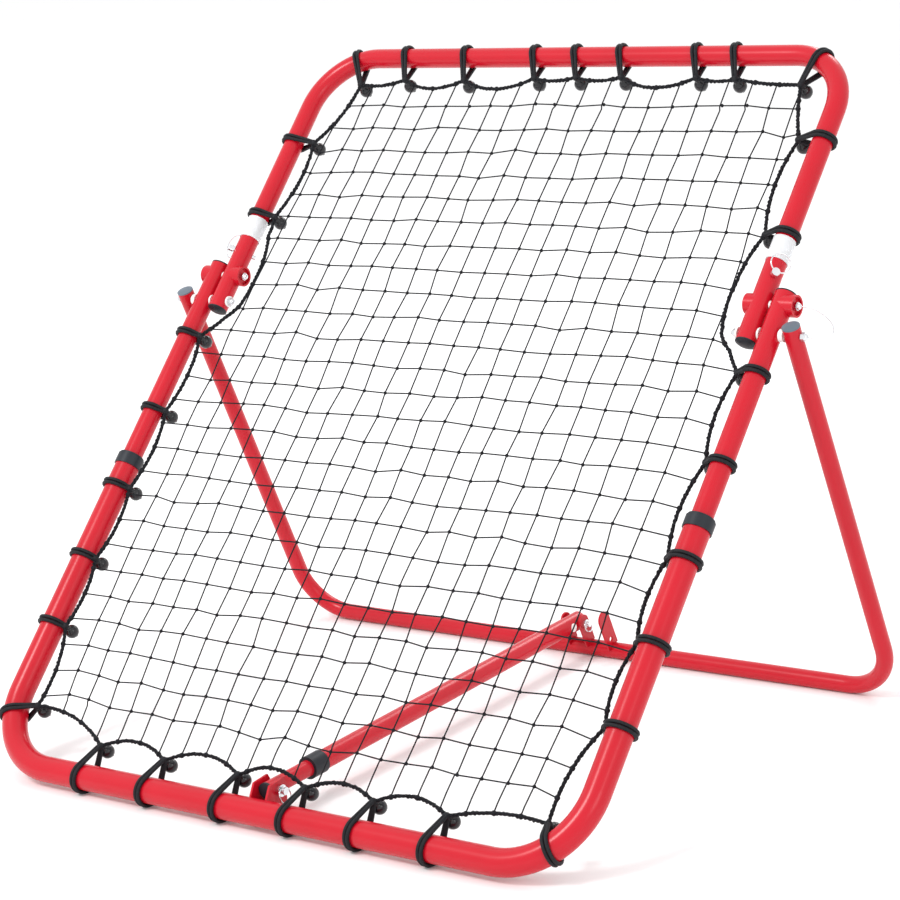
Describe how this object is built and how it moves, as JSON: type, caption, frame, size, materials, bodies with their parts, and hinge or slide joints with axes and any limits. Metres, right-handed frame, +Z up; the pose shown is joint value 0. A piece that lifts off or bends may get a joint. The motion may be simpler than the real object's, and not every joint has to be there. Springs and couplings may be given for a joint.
{
  "type": "pitch back rebounder",
  "caption": "Leaning rebound net on a folding tube frame: elastic cords hold a twine net, a rear leg and telescoping strut hold the lean.",
  "frame": {"origin": "on the floor under the middle of the object's overall box", "axes": "+X to the right of a person facing the net, -Y towards that person, +Z up"},
  "size_m": [0.8782, 0.7202, 0.7202],
  "materials": {
    "red_paint": "glossy bright red powder coat on steel tube",
    "black_plastic": "satin black moulded plastic",
    "grey_plastic": "satin blue-grey moulded plastic",
    "clear_plastic": "clear plastic sleeve",
    "white_plastic": "white nylon",
    "chrome": "bright plated steel",
    "net_twine": "knotted black twine with a braided border rope",
    "cord_sheath": "black elastic cord with a woven cover",
    "ball_plastic": "glossy black plastic ball"
  },
  "bodies": {
    "lower_frame": {"lower_rail_tube": "red_paint", "side_tube_left": "red_paint", "side_tube_right": "red_paint", "collar_left": "black_plastic", "collar_right": "black_plastic", "side_cap_left": "black_plastic", "side_cap_right": "black_plastic", "front_bracket": "red_paint", "pivot_bolt_left": "chrome", "pivot_bolt_right": "chrome", "pivot_dome_nuts": "chrome", "pivot_washers": "white_plastic", "pivot_spacers_inner": "white_plastic", "pivot_spacers_outer": "white_plastic", "lock_cup_right": "red_paint", "lock_disc_left": "red_paint", "lock_spacers": "white_plastic", "net_lower": "net_twine", "cord_loops_lower": "cord_sheath", "cord_balls_lower": "ball_plastic"},
    "upper_frame": {"upper_rail_tube": "red_paint", "stub_tube_left": "red_paint", "stub_tube_right": "red_paint", "stub_cap_left": "black_plastic", "stub_cap_right": "black_plastic", "joiner_left": "chrome", "joiner_right": "chrome", "clear_sleeve_left": "clear_plastic", "clear_sleeve_right": "clear_plastic", "lock_cup_left": "red_paint", "lock_disc_right": "red_paint", "net_upper": "net_twine", "cord_loops_upper": "cord_sheath", "cord_balls_upper": "ball_plastic"},
    "rear_leg": {"rear_leg_tube": "red_paint", "leg_cap_left": "grey_plastic", "leg_cap_right": "grey_plastic", "rear_clevis": "red_paint", "rear_lug": "red_paint"},
    "strut_inner": {"strut_inner_tube": "red_paint", "strut_end_piece": "black_plastic"},
    "strut_outer": {"strut_outer_tube": "red_paint", "strut_collar": "black_plastic", "strut_rivet": "white_plastic"},
    "hinge_pin_left": {"hinge_lock_pin_left": "chrome"},
    "hinge_pin_right": {"hinge_lock_pin_right": "chrome"},
    "wire_lock_left": {"wire_pin_left": "chrome", "wire_bail_left": "chrome"},
    "wire_lock_right": {"wire_pin_right": "chrome", "wire_bail_right": "chrome"},
    "rear_pull_pin": {"rear_pin": "chrome"},
    "front_pull_pin": {"front_pin": "chrome"}
  },
  "joints": [
    {"name": "upper_fold", "type": "hinge", "parent": "lower_frame", "child": "upper_frame", "pos_m": [0, 0.09118, 0.45125], "axis": [1, 0, 0], "range_deg": [0, 140]},
    {"name": "rear_leg_swing", "type": "hinge", "parent": "lower_frame", "child": "rear_leg", "pos_m": [0, 0.09118, 0.45125], "axis": [1, 0, 0], "range_deg": [-60, 0]},
    {"name": "strut_swing", "type": "hinge", "parent": "lower_frame", "child": "strut_inner", "pos_m": [0, -0.31357, 0.035], "axis": [1, 0, 0], "range_deg": [0, 37.2]},
    {"name": "strut_slide", "type": "slide", "parent": "strut_inner", "child": "strut_outer", "axis": [0, 0.9999, 0.015], "range_m": [-0.035, 0]},
    {"name": "hinge_pin_left_pull", "type": "slide", "parent": "upper_frame", "child": "hinge_pin_left", "axis": [1, 0, 0], "range_m": [0, 0.008]},
    {"name": "hinge_pin_right_pull", "type": "slide", "parent": "lower_frame", "child": "hinge_pin_right", "axis": [1, 0, 0], "range_m": [0, 0.03]},
    {"name": "wire_lock_left_pull", "type": "slide", "parent": "upper_frame", "child": "wire_lock_left", "axis": [-0.7071, -0.5, 0.5], "range_m": [0, 0.03]},
    {"name": "wire_lock_right_pull", "type": "slide", "parent": "upper_frame", "child": "wire_lock_right", "axis": [0.7071, -0.5, 0.5], "range_m": [0, 0.03]},
    {"name": "rear_pin_pull", "type": "slide", "parent": "rear_leg", "child": "rear_pull_pin", "axis": [1, 0, 0], "range_m": [0, 0.02]},
    {"name": "front_pin_pull", "type": "slide", "parent": "lower_frame", "child": "front_pull_pin", "axis": [1, 0, 0], "range_m": [0, 0.018]}
  ],
  "couplings": [
    {"joint": "strut_swing", "follows": "rear_leg_swing", "ratio": -0.62}
  ]
}
